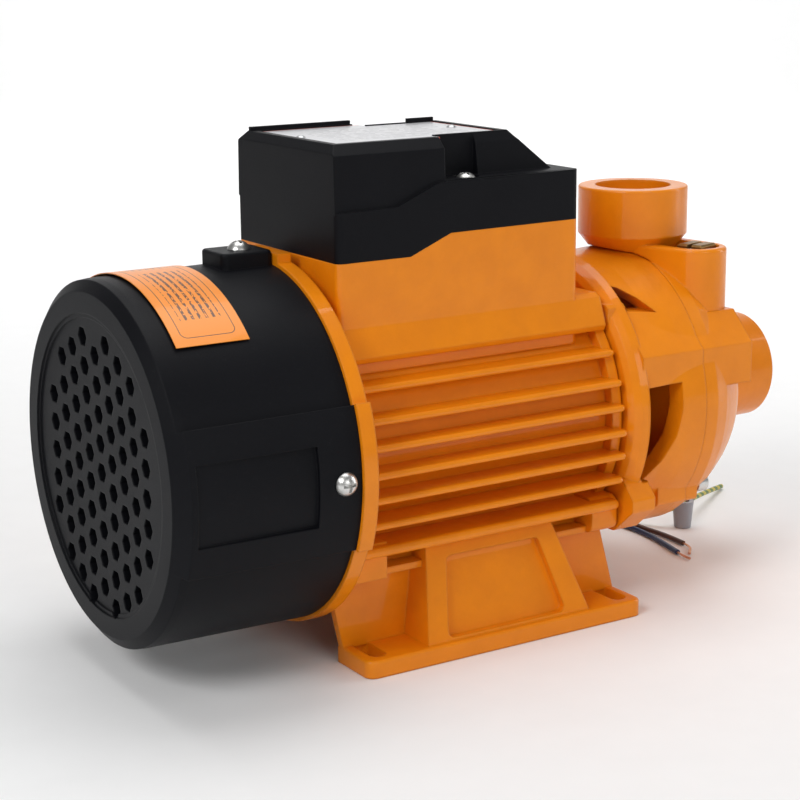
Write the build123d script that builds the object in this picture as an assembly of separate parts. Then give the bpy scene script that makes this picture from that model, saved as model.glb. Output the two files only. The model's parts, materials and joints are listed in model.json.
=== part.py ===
"""Peripheral (centrifugal-type) water pump with a finned electric motor, as separate pieces.

Millimetres. X runs along the shaft towards the pump head, Y across, Z up.
The feet stand on Z = 0 and the origin is under the middle of the whole machine.
"""
import math
import os

from build123d import *

os.makedirs("parts", exist_ok=True)

# ---------------------------------------------------------------- driving dimensions
LENGTH = 311.5                  # fan cover face to suction port face
X_FAN_FACE = -LENGTH / 2
X_SUCTION = LENGTH / 2
SHAFT_Z = 82.0                  # shaft height above the feet

# stations along the shaft
X_COVER_END = -85.0             # fan cover meets the rear end shield
X_SHIELD_END = -79.0            # rear end shield meets the motor housing
X_FIN_END = 46.0
X_BARREL_END = 47.0             # motor housing meets the front bracket
X_FLANGE_END = 56.0
X_JOINT = 85.0                  # front bracket meets the pump casing
X_CASING_END = 116.0

# motor
BARREL_R = 48.0
BARREL_BORE = 44.0
AIR_GAP_R = 27.5
ROTOR_R = 27.1
X_CORE = (-48.0, 14.0)
FIN_T = 2.8
FIN_TIPS = [(49.4, 108.4), (54.8, 97.2), (56.9, 87.5), (58.5, 77.6), (58.1, 68.1), (56.5, 57.9)]
SHOULDER = (42.8, 118.8)        # lower outer edge of the shoulder under the terminal box
RAIL = (54.3, 47.2)             # lowest fin, a thick rail above the feet
RAIL_T = 4.0

# feet
FOOT_MID_X = -10.0
FOOT_L = 130.0
FOOT_Y = (35.0, 58.3)
PAD_T = 6.9
SLOT_PITCH_X = 115.0
SLOT_PITCH_Y = 91.0
SLOT_L = 18.0
SLOT_W = 7.0

# terminal box
BOX_X = (-74.4, 34.9)
BOX_CORNER_R = 2.6
BOX_Y = 38.8
BOX_FLOOR_Z = 136.0
BOX_SPLIT = [(BOX_X[0], 154.0), (-43.0, 154.0), (-25.0, 161.4), (BOX_X[1], 161.8)]
BOX_LEDGE = [(BOX_X[0], 172.5), (-48.5, 173.0), (-30.0, 180.6), (BOX_X[1], 181.2)]
BOX_TOP_Z = 196.8

# fan cover
COVER_R = 69.6
COVER_WALL = 2.2
COVER_RAISE = 2.3
GRILLE_R = 56.4
HEX_FLATS = 6.6
HEX_PITCH_Z = 11.0
HEX_PITCH_Y = 10.2

# pump head
FLANGE_R = 60.5
CASING_R = 60.0
PORT_R = 23.0
PORT_BORE_R = 15.9              # pitch radius of a one-inch pipe thread
PORT_BORE_L = 22.0
X_OUTLET = 93.0
OUTLET_TOP_Z = 167.0
BOSS = (101.4, -32.0)
BOSS_R = 12.3
BOSS_TOP_Z = 144.2
IMPELLER_R = 36.0
X_IMPELLER = (88.5, 98.0)

# shaft and bearings
SHAFT_R = 6.0
BEARING_R = 16.0
BEARING_W = 10.0
X_REAR_BEARING = -88.0
X_FRONT_BEARING = 50.0
BALL_CIRCLE_R = 11.0
BALL_R = 2.85
BALLS = 7

SHAFT_AXIS = Axis((0, 0, SHAFT_Z), (1, 0, 0))


# ---------------------------------------------------------------- helpers
def rod_x(x0, x1, r, y=0.0, z=SHAFT_Z):
    """Cylinder along X."""
    return Pos((x0 + x1) / 2, y, z) * Rot(0, 90, 0) * Cylinder(r, x1 - x0)


def rod_y(y0, y1, r, x, z):
    """Cylinder along Y."""
    return Pos(x, (y0 + y1) / 2, z) * Rot(90, 0, 0) * Cylinder(r, y1 - y0)


def rod_z(z0, z1, r, x=0.0, y=0.0):
    """Cylinder along Z."""
    return Pos(x, y, (z0 + z1) / 2) * Cylinder(r, z1 - z0)


def block(x0, x1, y0, y1, z0, z1):
    """Box between two corners."""
    middle = Pos((x0 + x1) / 2, (y0 + y1) / 2, (z0 + z1) / 2)
    return middle * Box(x1 - x0, y1 - y0, z1 - z0)


def tube_x(x0, x1, r_in, r_out):
    """Ring about the shaft."""
    return rod_x(x0, x1, r_out) - rod_x(x0 - 1, x1 + 1, r_in)


def turned(profile):
    """Solid of revolution about the shaft from (x, radius) corners."""
    corners = [(x, 0, SHAFT_Z + r) for x, r in profile]
    return revolve(make_face(Polyline(*corners, close=True)), SHAFT_AXIS, 360)


def about_shaft(shape, degrees):
    """Turn a shape about the shaft."""
    return Pos(0, 0, SHAFT_Z) * Rot(degrees, 0, 0) * Pos(0, 0, -SHAFT_Z) * shape


def ring_of(shape, count, start=0.0):
    """Equally spaced copies about the shaft."""
    return [about_shaft(shape, start + i * 360 / count) for i in range(count)]


def prism_x(points, x0, x1):
    """Prism along X from (y, z) corners."""
    corners = [(x0, y, z) for y, z in points]
    return extrude(make_face(Polyline(*corners, close=True)), amount=x1 - x0, dir=(1, 0, 0))


def prism_y(points, y0, y1):
    """Prism along Y from (x, z) corners."""
    corners = [(x, y0, z) for x, z in points]
    return extrude(make_face(Polyline(*corners, close=True)), amount=y1 - y0, dir=(0, 1, 0))


def both_sides(shape):
    """A shape and its mirror image across the XZ plane."""
    return [shape, mirror(shape, about=Plane.XZ)]


def join(shapes):
    """Fuse a list of shapes into one."""
    first, *rest = shapes
    return first + rest


def hex_nut(flats, height):
    """Hexagonal prism standing on Z = 0."""
    return extrude(RegularPolygon(flats / 2, 6, major_radius=False), height)


def pan_screw(head_r, head_h, shank_r, shank_l):
    """Pan-head cross-recess screw, head up, seated at Z = 0."""
    dome_r = (head_r ** 2 + head_h ** 2) / (2 * head_h)
    dome = Pos(0, 0, head_h - dome_r) * Sphere(dome_r)
    head = dome & Pos(0, 0, head_h / 2) * Cylinder(head_r, head_h)
    shank = Pos(0, 0, -shank_l / 2) * Cylinder(shank_r, shank_l)
    slot = Box(head_r * 1.15, head_r * 0.26, head_h * 1.2)
    recess = Pos(0, 0, head_h) * (slot + Rot(0, 0, 90) * slot)
    return head + shank - recess


NODES = {}


def node(name, shapes):
    """Record one named node made of one or more separate solids."""
    items = shapes if isinstance(shapes, (list, tuple)) else [shapes]
    solids = [solid for item in items for solid in item.solids()]
    NODES[name] = solids[0] if len(solids) == 1 else Compound(children=solids)


# ---------------------------------------------------------------- motor housing
TIE_LOWER = (42.5, 44.0)
TIE_UPPER = (36.5, 120.5)
TIE_R = 2.5


def foot_solids():
    """One foot on the -Y side: pad, inner wall, shelf, corner blocks and central panel."""
    y_in, y_out = FOOT_Y
    x0 = FOOT_MID_X - FOOT_L / 2
    x1 = FOOT_MID_X + FOOT_L / 2
    pad = block(x0, x1, -y_out, -y_in, 0, PAD_T)
    pad = fillet(pad.edges().filter_by(Axis.Z).sort_by(Axis.Y)[:2], 4.0)
    pad = fillet(pad.edges().group_by(Axis.Z)[-1].sort_by(Axis.Y)[:1], 1.2)
    slot_y = -SLOT_PITCH_Y / 2
    for side in (-1, 1):
        x = FOOT_MID_X + side * SLOT_PITCH_X / 2
        half = (SLOT_L - SLOT_W) / 2
        pad -= block(x - SLOT_W / 2, x + SLOT_W / 2, slot_y - half, slot_y + half, -1, PAD_T + 1)
        pad -= rod_z(-1, PAD_T + 1, SLOT_W / 2, x, slot_y - half)
        pad -= rod_z(-1, PAD_T + 1, SLOT_W / 2, x, slot_y + half)
    wall_ends = [(x0 + 0.4, PAD_T - 1), (x1, PAD_T - 1), (x1 - 8.2, 36), (x1 - 8.2, 52),
                 (X_SHIELD_END, 52), (X_SHIELD_END, 26)]
    wall = prism_y(wall_ends, -y_in - 3.6, -y_in)
    shelf = block(X_SHIELD_END, X_FIN_END, -46.5, -y_in, 35.6, 38.2)
    panel_side = [(-y_in, PAD_T - 1), (-y_out + 2.2, PAD_T - 1), (-y_out + 2.2, PAD_T + 1),
                  (-47.5, 45.5), (-y_in, 45.5)]
    panel_front = [(-47.5, PAD_T - 1), (29.5, PAD_T - 1), (15.0, 46.5), (-43.0, 46.5)]
    panel = prism_x(panel_side, -60, 40) & prism_y(panel_front, -y_out - 5, -y_in + 5)
    recess_side = [(-y_out - 6, 8.2), (-52.8, 8.2), (-45.8, 38.8), (-y_out - 6, 38.8)]
    recess_front = [(-38.0, 8.2), (18.0, 8.2), (8.6, 38.8), (-34.5, 38.8)]
    window = prism_y(recess_front, -y_out - 8, -y_in)
    recess = prism_x(recess_side, -60, 40) & fillet(window.edges().filter_by(Axis.Y), 2.5)
    rear_block = block(X_SHIELD_END, -62.0, -50.5, -y_in, 35.6, 50)
    front_block = block(34.5, X_BARREL_END, -50.5, -y_in, 35.6, 50)
    front_block = fillet(front_block.edges().filter_by(Axis.X).group_by(Axis.Y)[0], 4.0)
    return [pad, wall, shelf, panel - recess, rear_block, front_block]


def terminal_pedestal():
    """The cast box that carries the terminals, open at the top."""
    outline = [(BOX_X[0], 112)] + BOX_SPLIT + [(BOX_X[1], 112)]
    outer = prism_y(outline, -BOX_Y, BOX_Y)
    outer = fillet(outer.edges().filter_by(Axis.Z), BOX_CORNER_R)
    wall = 3.4
    inner = block(BOX_X[0] + wall, BOX_X[1] - wall, -BOX_Y + wall, BOX_Y - wall, BOX_FLOOR_Z, 170)
    box = outer - fillet(inner.edges().filter_by(Axis.Z), 2.5)
    for side in (-1, 1):
        box += rod_z(BOX_FLOOR_Z - 1, 161.0, 4.5, COVER_SCREW_X, side * COVER_SCREW_Y)
        box -= rod_z(150, 165, 1.9, COVER_SCREW_X, side * COVER_SCREW_Y)
    return box


def rear_ribs():
    """Ribs that brace the terminal pedestal against the rear end shield."""
    return [block(X_SHIELD_END, BOX_X[0] + 1, y - 1.5, y + 1.5, 118, top)
            for y, top in ((-27, 138), (-15, 144), (0, 148), (15, 144), (27, 138))]


def fin_plate(y_tip, z_mid, thickness):
    """One flat cooling fin on the +Y side, rounded along its tip and its free end."""
    fin = block(X_SHIELD_END, X_FIN_END, 30.0, y_tip, z_mid - thickness / 2, z_mid + thickness / 2)
    fin = fillet(fin.edges().filter_by(Axis.Z).group_by(Axis.Y)[-1].sort_by(Axis.X)[-1:], 2.0)
    return fillet(fin.faces().sort_by(Axis.Y)[-1].edges().filter_by(Axis.X), 0.45 * thickness)


def motor_housing():
    x0 = X_SHIELD_END
    body = tube_x(x0, X_BARREL_END, BARREL_BORE, BARREL_R)
    pieces = [tube_x(X_BARREL_END - 4.5, X_BARREL_END, BARREL_BORE, 52.6)]
    pieces.append(tube_x(x0, x0 + 5, BARREL_BORE, 56))
    for side in (-1, 1):
        for y, z in FIN_TIPS:
            fin = fin_plate(y, z, FIN_T)
            pieces.append(fin if side > 0 else mirror(fin, about=Plane.XZ))
        rail = fin_plate(RAIL[0], RAIL[1], RAIL_T)
        pieces.append(rail if side > 0 else mirror(rail, about=Plane.XZ))
    y_s, z_s = SHOULDER
    shoulder = [(-36.0, 131.0), (-38.8, 129.5), (-y_s, z_s), (-y_s + 1.2, z_s - 2.2),
                (-34, z_s - 2.6), (-28, 112), (-20, 131)]
    pieces += both_sides(prism_x(shoulder, x0, X_FIN_END))
    pieces.append(terminal_pedestal())
    pieces += rear_ribs()
    for solid in foot_solids():
        pieces += both_sides(solid)
    body = join([body] + pieces)
    body -= rod_x(x0 - 1, X_BARREL_END + 1, BARREL_BORE)
    for y, z in (TIE_LOWER, TIE_UPPER):
        for side in (-1, 1):
            body -= rod_x(x0 - 1, X_BARREL_END + 1, TIE_R + 0.3, side * y, z)
    body -= rod_z(BARREL_R + SHAFT_Z - 8, BOX_FLOOR_Z + 2, 7.0, 22.0, 0)
    body -= rod_y(BOX_Y - 8, BOX_Y + 2, GLAND_R, GLAND_X, GLAND_Z)
    body -= rod_z(BOX_FLOOR_Z - 6, BOX_FLOOR_Z + 1, 2.0, EARTH[0], EARTH[1])
    for x, y in BLOCK_SCREWS:
        body -= rod_z(BOX_FLOOR_Z - 6, BOX_FLOOR_Z + 1, 1.5, x, y)
    return body


# ---------------------------------------------------------------- terminal box contents
GLAND_R = 8.0
GLAND_X = 2.0
GLAND_Z = 146.0
CORD_R = 3.5
EARTH = (-62.0, -22.0)
BLOCK_SCREWS = [(-3.0, 0.0), (24.0, 0.0)]
COVER_SCREW_X = -13.5
COVER_SCREW_Y = 31.5
POCKET_Z = 179.8
COVER_RIM_Z = 198.3


def terminal_cover():
    """Moulded cover: a skirt, a stepped ledge and a chamfered hood with screw pockets."""
    skirt_outline = BOX_SPLIT + BOX_LEDGE[::-1]
    skirt = prism_y(skirt_outline, -BOX_Y, BOX_Y)
    skirt = fillet(skirt.edges().filter_by(Axis.Z), BOX_CORNER_R)
    y_hood = BOX_Y - 1.2
    hood_side = [(-y_hood, 171.5), (y_hood, 171.5), (y_hood - 0.6, 192.9), (32.8, BOX_TOP_Z),
                 (-32.8, BOX_TOP_Z), (-y_hood + 0.6, 192.9)]
    hood_front = [(BOX_X[0], 171.5), (30.5, 171.5), (30.5, 180.5), (10.0, BOX_TOP_Z),
                  (BOX_X[0] + 2.4, BOX_TOP_Z), (BOX_X[0], 193.6)]
    hood = prism_x(hood_side, -90, 50) & prism_y(hood_front, -50, 50)
    pocket_top = BOX_TOP_Z + 1
    for side in (-1, 1):
        corners = [(-26.5, 181.2), (40.0, 181.2), (40.0, pocket_top), (-26.5, pocket_top)]
        near = prism_y(corners, 25.2, 45)
        hood -= near if side > 0 else mirror(near, about=Plane.XZ)
        nose_side = [(25.0, 180.0), (29.0, 180.0), (27.0, 193.0), (25.0, BOX_TOP_Z)]
        nose_front = [(-6.0, 180.0), (29.8, 180.0), (9.6, BOX_TOP_Z), (-6.0, BOX_TOP_Z)]
        nose = prism_x(nose_side, -20, 45) & prism_y(nose_front, 20, 40)
        hood += nose if side > 0 else mirror(nose, about=Plane.XZ)
    outer = skirt + hood
    for side in (-1, 1):
        outer -= rod_z(POCKET_Z, 184.0, 5.2, COVER_SCREW_X, side * COVER_SCREW_Y)
    wall = 2.4
    inner = block(BOX_X[0] + 3, 27, -22.0, 22.0, 150, PLATE_Z - wall)
    inner &= prism_y([(-80, 150), (27, 150), (27, 178), (8.0, 193.6), (-80, 194.4)], -40, 40)
    inner += block(BOX_X[0] + 3, 30.5, -BOX_Y + 3, BOX_Y - 3, 150, 169.5)
    inner += block(BOX_X[0] + 3, -30, -34.0, 34.0, 150, 190.5)
    shell = outer - inner
    shell -= plate_outline(0.3, PLATE_Z, BOX_TOP_Z + 2)
    shell += block(BOX_X[0] + 2.6, -27, 31.0, 32.7, BOX_TOP_Z - 1, COVER_RIM_Z)
    shell += block(-4.5, 8.0, 23.9, 25.2, BOX_TOP_Z - 1, COVER_RIM_Z)
    for side in (-1, 1):
        post = rod_z(161.5, POCKET_Z, 4.5, COVER_SCREW_X, side * COVER_SCREW_Y)
        shell += post
        shell -= rod_z(150, 190, 2.15, COVER_SCREW_X, side * COVER_SCREW_Y)
    return shell


def terminal_cover_screws():
    screw = pan_screw(4.2, 2.9, 1.9, 26.0)
    return [Pos(COVER_SCREW_X, side * COVER_SCREW_Y, POCKET_Z) * screw for side in (-1, 1)]


PLATE_X = (BOX_X[0] + 5.6, 7.0)
PLATE_HALF_Y = 29.8
PLATE_Z = BOX_TOP_Z - 1.0
PLATE_T = 0.6


def plate_outline(grow, z0, z1):
    """Nameplate shape with its two notched corners, or the pocket that it lies in."""
    x0, x1 = PLATE_X[0] - grow, PLATE_X[1] + grow
    plate = block(x0, x1, -PLATE_HALF_Y - grow, PLATE_HALF_Y + grow, z0, z1)
    notch = block(-24.0 + grow, 40.0, 23.6 + grow, 45, z0 - 1, z1 + 1)
    return plate - both_sides(notch)


def nameplate():
    return plate_outline(0.0, PLATE_Z, PLATE_Z + PLATE_T)


RIVET_X = (-67.0, 1.0)


def nameplate_rivets():
    rivets = []
    for x in RIVET_X:
        dome = Pos(x, 0, PLATE_Z + PLATE_T - 1.6) * Sphere(2.6)
        rivets.append(dome & rod_z(PLATE_Z + PLATE_T, PLATE_Z + 3, 2.4, x, 0))
    return rivets


def capacitor():
    can = rod_x(-68, -26, 14.0, 4.0, 166.0)
    can = fillet(can.edges(), 2.0)
    lugs = [block(-26.2, -20, 4 + d - 2.4, 4 + d + 2.4, 165.6, 166.4) for d in (-6, 6)]
    return join([can] + lugs)


def terminal_block():
    body = block(-6, 30, -9, 9, BOX_FLOOR_Z, BOX_FLOOR_Z + 12)
    body = fillet(body.edges().filter_by(Axis.Z), 1.5)
    for i in range(4):
        body -= block(-3 + i * 9 - 2.9, -3 + i * 9 + 2.9, -10, 10, BOX_FLOOR_Z + 7, BOX_FLOOR_Z + 13)
    for x, y in BLOCK_SCREWS:
        body -= rod_z(BOX_FLOOR_Z - 1, BOX_FLOOR_Z + 14, 1.7, x, y)
    return body


def terminal_block_screws():
    screw = pan_screw(2.7, 1.8, 1.5, 11.0)
    return [Pos(x, y, BOX_FLOOR_Z + 7) * screw for x, y in BLOCK_SCREWS]


def earth_screw():
    washer = rod_z(BOX_FLOOR_Z, BOX_FLOOR_Z + 1.2, 4.6, *EARTH)
    return washer + Pos(EARTH[0], EARTH[1], BOX_FLOOR_Z + 1.2) * pan_screw(3.8, 2.6, 2.0, 6.5)


def cable_gland():
    """Gland body through the far wall of the terminal box."""
    y0, y1 = BOX_Y - 3.4, BOX_Y
    thread = rod_y(y0 - 6, y1, GLAND_R, GLAND_X, GLAND_Z)
    hexagon = Pos(GLAND_X, y1, GLAND_Z) * Rot(-90, 0, 0) * hex_nut(19.0, 6.0)
    neck = rod_y(y1 + 6, y1 + 12, 7.0, GLAND_X, GLAND_Z)
    bore = rod_y(y0 - 8, y1 + 14, CORD_R + 0.4, GLAND_X, GLAND_Z)
    return thread + hexagon + neck - bore


def gland_nut():
    """Domed clamping nut of the gland."""
    y0 = BOX_Y + 6.2
    y1 = y0 + 14.0
    nut = rod_y(y0, y1, 9.6, GLAND_X, GLAND_Z)
    nut = fillet(nut.edges().sort_by(Axis.Y)[-1:], 3.5)
    nut -= rod_y(y0 - 1, BOX_Y + 12.2, 7.1, GLAND_X, GLAND_Z)
    flutes = []
    for i in range(10):
        angle = math.radians(36 * i)
        x = GLAND_X + 10.6 * math.cos(angle)
        z = GLAND_Z + 10.6 * math.sin(angle)
        flutes.append(rod_y(y0 - 1, y1 + 1, 1.9, x, z))
    for flute in flutes:
        nut -= flute
    return nut - rod_y(y0 - 1, y1 + 1, CORD_R, GLAND_X, GLAND_Z)


# ---------------------------------------------------------------- stator
STATOR_SLOTS = 24


def slot_block(x0, x1, play):
    """One winding slot's space, pointing up from the shaft."""
    half = 1.9 - play
    return block(x0, x1, -half, half, SHAFT_Z + 29.8 + play, SHAFT_Z + 38.5 - play)


def stator_core():
    core = tube_x(X_CORE[0], X_CORE[1], AIR_GAP_R, BARREL_BORE)
    mouth = block(X_CORE[0] - 1, X_CORE[1] + 1, -0.8, 0.8, SHAFT_Z + 26, SHAFT_Z + 31)
    cutter = slot_block(X_CORE[0] - 1, X_CORE[1] + 1, 0.0) + mouth
    return core - ring_of(cutter, STATOR_SLOTS)


def stator_windings():
    """Copper coil sides in every slot, joined by the end turns."""
    x0, x1 = X_CORE[0] - 1.0, X_CORE[1] + 1.0
    bars = ring_of(slot_block(x0 - 1, x1 + 1, 0.15), STATOR_SLOTS)
    ends = []
    for a, b in ((x0 - 13, x0), (x1, x1 + 13)):
        end = tube_x(a, b, 29.5, 39.5)
        ends.append(fillet(end.edges(), 3.5))
    return join(ends + bars)


# ---------------------------------------------------------------- rear end
def shield_outline(r, x0, x1):
    """Disc with the two raised side zones and the top pad of the fan cover's outline."""
    disc = rod_x(x0, x1, r)
    for side in (0, 180):
        disc += about_shaft(side_zone(r + COVER_RAISE, x0, x1, 22.0), side)
    return disc


def side_zone(r, x0, x1, half_angle):
    """Sector of a disc around the -Y side, out to radius r."""
    a = math.radians(half_angle)
    y, z = 1.2 * r * math.cos(a), 1.2 * r * math.sin(a)
    wedge = prism_x([(0, SHAFT_Z), (-y, SHAFT_Z - z), (-1.4 * r, SHAFT_Z), (-y, SHAFT_Z + z)], x0, x1)
    return rod_x(x0, x1, r) & wedge


def rear_end_shield():
    rim = shield_outline(COVER_R + 1.5, X_COVER_END, X_SHIELD_END)
    hub = rod_x(-91, -76, 21.0)
    spigot = tube_x(-79, -75, 40.0, BARREL_BORE)
    lip = turned([(X_COVER_END, 64), (X_COVER_END, COVER_R - 2.4), (-89, COVER_R - 2.4), (-89, 65)])
    shield = rim + hub + spigot + lip
    shield += block(X_COVER_END, X_SHIELD_END, -12.5, 12.5, SHAFT_Z + 60, 155.4)
    window = tube_x(-91, -78, 57.5, 62.0)
    wedge = prism_x([(0, SHAFT_Z), (-12, SHAFT_Z + 80), (12, SHAFT_Z + 80)], -91, -78)
    shield -= ring_of(window & wedge, 12, 15)
    shield -= rod_x(-92, -78, BEARING_R)
    shield += tube_x(-78.1, -76, 13.0, BEARING_R + 2)
    shield -= rod_x(-95, -70, 13.0)
    shield -= rod_x(-89.6, -78, BEARING_R)
    for y, z in (TIE_LOWER, TIE_UPPER):
        for side in (-1, 1):
            shield -= rod_x(-95, -70, TIE_R + 0.3, side * y, z)
    for x, y, z, turn in FAN_SCREWS:
        if turn != 0:
            shield -= rod_y(y - 20, y + 20, 1.6, x, z)
    return shield


def tie_rods():
    rods = []
    for y, z in (TIE_LOWER, TIE_UPPER):
        for side in (-1, 1):
            rod = rod_x(-94, 60, TIE_R, side * y, z)
            rods.append(rod)
    return rods


def tie_rod_nuts():
    nuts = []
    for y, z in (TIE_LOWER, TIE_UPPER):
        for side in (-1, 1):
            nut = Pos(X_COVER_END - 4, side * y, z) * Rot(0, 90, 0) * hex_nut(8.0, 4.0)
            nuts.append(nut - rod_x(-95, -80, TIE_R, side * y, z))
    return nuts


# ---------------------------------------------------------------- fan cover
FAN_PAD_Z = 156.8
FAN_SCREWS = [(-94.5, 0.0, FAN_PAD_Z, 0), (-91.5, -COVER_R - COVER_RAISE, SHAFT_Z, 90),
              (-91.5, COVER_R + COVER_RAISE, SHAFT_Z, -90)]


def cover_outside(grow):
    """Outer form of the fan cover, grown by a wall thickness inwards when negative."""
    r = COVER_R + grow
    x0 = X_FAN_FACE - grow
    form = turned([(x0, 0), (x0, r - 5.2), (x0 + 3, r - 1.2), (x0 + 6, r - 0.9),
                   (X_COVER_END, r), (X_COVER_END, 0)])
    for side in (0, 180):
        zone = side_zone(r + COVER_RAISE, x0, X_COVER_END, 22.0)
        zone &= turned([(x0, 0), (x0, r - 5.2), (x0 + 4.6, r + COVER_RAISE - 1.2),
                        (X_COVER_END, r + COVER_RAISE), (X_COVER_END, 0)])
        form += about_shaft(zone, side)
    return form


def grille_holes():
    """Hexagonal air holes in staggered columns."""
    counts = [5, 8, 9, 10, 9, 10, 9, 8, 5]
    hexagon = RegularPolygon(HEX_FLATS / 2, 6, major_radius=False, rotation=0)
    holes = []
    for i, count in enumerate(counts):
        y = (i - (len(counts) - 1) / 2) * HEX_PITCH_Y
        for j in range(count):
            z = SHAFT_Z - 2.7 + (j - (count - 1) / 2) * HEX_PITCH_Z
            place = Plane((X_FAN_FACE - 2, y, z), x_dir=(0, 1, 0), z_dir=(1, 0, 0))
            holes.append(extrude(place * hexagon, 14))
    return holes


def fan_cover():
    shell = cover_outside(0.0) - cover_outside(-COVER_WALL)
    shell -= rod_x(X_FAN_FACE - 1, X_FAN_FACE + 6, GRILLE_R)
    shell += tube_x(X_FAN_FACE + 0.6, X_FAN_FACE + 4.2, GRILLE_R - 1.6, GRILLE_R + 2.5)
    dish = turned([(X_FAN_FACE + 1.2, GRILLE_R - 1), (X_FAN_FACE + 2.0, 30), (X_FAN_FACE + 2.4, 0),
                   (X_FAN_FACE + 5.2, 0), (X_FAN_FACE + 4.8, 30), (X_FAN_FACE + 4.0, GRILLE_R - 1)])
    shell += dish
    pad = block(-106.0, X_COVER_END, -9.5, 9.5, SHAFT_Z + COVER_R - 6, FAN_PAD_Z)
    pad = fillet(pad.edges().filter_by(Axis.Z), 2.5)
    pad = fillet(pad.edges().group_by(Axis.Z)[-1], 1.2)
    shell += pad - rod_x(-120, -80, COVER_R - COVER_WALL)
    for side in (0, 180):
        panel = side_zone(COVER_R + 6, X_FAN_FACE + 7, -102.0, 12.0)
        panel -= rod_x(X_FAN_FACE - 1, -80, COVER_R + 0.4)
        shell -= about_shaft(panel, side)
    shell -= rod_z(140, 160, 2.2, FAN_SCREWS[0][0], 0)
    shell -= rod_y(-80, -60, 2.2, -91.5, SHAFT_Z)
    shell -= rod_y(60, 80, 2.2, -91.5, SHAFT_Z)
    for hole in grille_holes():
        shell -= hole
    return shell


def fan_cover_screws():
    screw = pan_screw(4.4, 3.2, 1.9, 9.0)
    return [Pos(x, y, z) * Rot(turn, 0, 0) * screw for x, y, z, turn in FAN_SCREWS]


def fan_cover_label():
    """Printed foil label wrapped over the top of the fan cover."""
    band = tube_x(-144.0, -115.7, COVER_R + 0.05, COVER_R + 0.35)
    wedge = prism_x([(0, SHAFT_Z), (-90, SHAFT_Z + 96.5), (0, SHAFT_Z + 140), (90, SHAFT_Z + 96.5)],
                    -150, -110)
    return band & wedge


# ---------------------------------------------------------------- rotor
def shaft():
    profile = [(-128, 0), (-128, 5.2), (-127.4, 5.8), (-100, 5.8), (-100, SHAFT_R), (-75, SHAFT_R),
               (-75, 8.0), (48.0, 8.0), (48.0, SHAFT_R), (97.2, SHAFT_R), (98.0, 5.2), (98.0, 0)]
    body = turned(profile)
    body -= tube_x(-126.4, -125.2, 5.0, 9.0)
    body -= block(88.0, 99.0, -1.5, 1.5, SHAFT_Z + 4.2, SHAFT_Z + 8)
    return body


ROTOR_BARS = 20


def rotor_core():
    core = tube_x(X_CORE[0], X_CORE[1], 8.0, ROTOR_R)
    return core - ring_of(rod_x(X_CORE[0] - 1, X_CORE[1] + 1, 1.6, 0, SHAFT_Z + 23.8), ROTOR_BARS)


def rotor_cage():
    """Cast aluminium bars and end rings of the rotor, with stirring vanes."""
    bars = ring_of(rod_x(X_CORE[0] - 1, X_CORE[1] + 1, 1.5, 0, SHAFT_Z + 23.8), ROTOR_BARS)
    rings = [tube_x(X_CORE[0] - 5, X_CORE[0], 17, 26), tube_x(X_CORE[1], X_CORE[1] + 5, 17, 26)]
    vanes = ring_of(block(X_CORE[0] - 11, X_CORE[0] - 4, -1, 1, SHAFT_Z + 19, SHAFT_Z + 25), 6)
    vanes += ring_of(block(X_CORE[1] + 4, X_CORE[1] + 11, -1, 1, SHAFT_Z + 19, SHAFT_Z + 25), 6)
    return join(rings + bars + vanes)


def cooling_fan():
    """Radial fan with eight straight blades."""
    hub = turned([(-124.6, 5.8), (-124.6, 11), (-104, 14), (-101, 14), (-101, 5.8)])
    disc = turned([(-104.2, 12), (-108, 40), (-110, 58), (-108, 58), (-105.5, 40), (-101, 12)])
    blade = block(-128, -104, -1.1, 1.1, SHAFT_Z + 22, SHAFT_Z + 57.5)
    blade &= turned([(-128, 22), (-128, 57.5), (-108.5, 57.5), (-105, 22)])
    return join([hub, disc] + ring_of(blade, 8))


def fan_circlip():
    ring = tube_x(-126.3, -125.3, 5.0, 8.0)
    return ring - block(-127, -124, -2, 2, SHAFT_Z - 9, SHAFT_Z)


def impeller():
    """Peripheral wheel with a row of vanes milled into each side of its rim."""
    x0, x1 = X_IMPELLER
    wheel = tube_x(x0, x1, SHAFT_R, IMPELLER_R)
    wheel -= tube_x(x0 - 1, x0 + 2.6, 13, 27)
    wheel -= tube_x(x1 - 2.6, x1 + 1, 13, 27)
    pocket = block(x0 - 1, x0 + 3.6, -1.6, 1.6, SHAFT_Z + 30.5, SHAFT_Z + 40)
    other = block(x1 - 3.6, x1 + 1, -1.6, 1.6, SHAFT_Z + 30.5, SHAFT_Z + 40)
    wheel -= ring_of(pocket, 36)
    wheel -= ring_of(other, 36)
    return wheel - block(x0 - 1, x1 + 1, -1.5, 1.5, SHAFT_Z, SHAFT_Z + 7.6)


def impeller_key():
    return block(X_IMPELLER[0], 97.5, -1.5, 1.5, SHAFT_Z + 4.2, SHAFT_Z + 7.4)


def shaft_slinger():
    return turned([(64, SHAFT_R), (64, 12), (65.5, 14), (66.5, 14), (66.5, SHAFT_R)])


# ---------------------------------------------------------------- bearings
def bearing_groove(x_mid):
    return Pos(x_mid, 0, SHAFT_Z) * Rot(0, 90, 0) * Torus(BALL_CIRCLE_R, BALL_R + 0.15)


def bearing_outer(x0):
    ring = tube_x(x0, x0 + BEARING_W, 12.9, BEARING_R)
    return ring - bearing_groove(x0 + BEARING_W / 2)


def bearing_inner(x0):
    ring = tube_x(x0, x0 + BEARING_W, SHAFT_R, 9.1)
    return ring - bearing_groove(x0 + BEARING_W / 2)


def bearing_balls(x0):
    ball = Pos(x0 + BEARING_W / 2, 0, SHAFT_Z + BALL_CIRCLE_R) * Sphere(BALL_R)
    return ring_of(ball, BALLS)


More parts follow.
